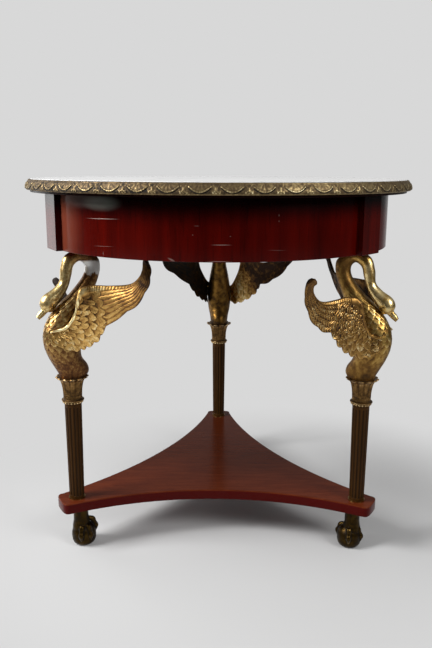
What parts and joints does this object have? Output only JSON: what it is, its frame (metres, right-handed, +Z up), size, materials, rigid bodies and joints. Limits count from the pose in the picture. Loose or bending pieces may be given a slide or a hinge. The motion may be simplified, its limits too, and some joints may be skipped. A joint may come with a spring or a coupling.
{
  "type": "tripod gueridon",
  "caption": "Round marble-topped side table on swan legs with fluted columns, a hollow-sided triangular plinth and claw feet.",
  "frame": {"origin": "on the floor, below the middle of the round top", "axes": "+Z up, -Y to the front between the two front legs, +X to the right; the third leg stands towards +Y"},
  "size_m": [0.8, 0.804, 0.7608],
  "materials": {
    "marble": "polished white marble with faint grey veins",
    "mahogany": "French polished mahogany veneer",
    "plinth_mahogany": "French polished mahogany, browner and lightly faded",
    "column_mahogany": "dark stained and polished fluted mahogany",
    "beech": "planed, unfinished",
    "gilt_rim": "cast, chased and gilt, worn",
    "gilt_bronze": "cast, chased and gilt, darkened in the hollows",
    "capital_bronze": "turned and chased, gilt worn to bronze",
    "foot_bronze": "cast, dark patina",
    "brass_pin": "drawn",
    "steel": "plain"
  },
  "bodies": {
    "table": {"top_board": "mahogany", "rim_segments": "gilt_rim", "rim_pins": "brass_pin", "glue_blocks": "beech", "board_screws": "steel", "plinth": "plinth_mahogany", "base_rings": "brass_pin", "wing_pins": "brass_pin", "apron_panel_front": "mahogany", "apron_panel_right": "mahogany", "apron_panel_left": "mahogany", "apron_block_left": "mahogany", "apron_block_right": "mahogany", "apron_block_back": "mahogany", "corner_block_left": "beech", "corner_block_right": "beech", "corner_block_back": "beech", "neck_screw_left": "steel", "neck_screw_right": "steel", "neck_screw_back": "steel", "swan_left": "gilt_bronze", "swan_right": "gilt_bronze", "swan_back": "gilt_bronze", "swan_left_wing_left": "gilt_bronze", "swan_left_wing_right": "gilt_bronze", "swan_left_wing_back": "gilt_bronze", "swan_right_wing_left": "gilt_bronze", "swan_right_wing_right": "gilt_bronze", "swan_right_wing_back": "gilt_bronze", "capital_left": "capital_bronze", "capital_right": "capital_bronze", "capital_back": "capital_bronze", "column_left": "column_mahogany", "column_right": "column_mahogany", "column_back": "column_mahogany", "foot_left": "foot_bronze", "foot_right": "foot_bronze", "foot_back": "foot_bronze", "tie_rod_left": "steel", "tie_rod_right": "steel", "tie_rod_back": "steel"},
    "marble": {"marble_top": "marble"}
  },
  "joints": [
    {"name": "marble_lift", "type": "slide", "parent": "table", "child": "marble", "axis": [0, 0, 1], "range_m": [0, 0.06]}
  ]
}
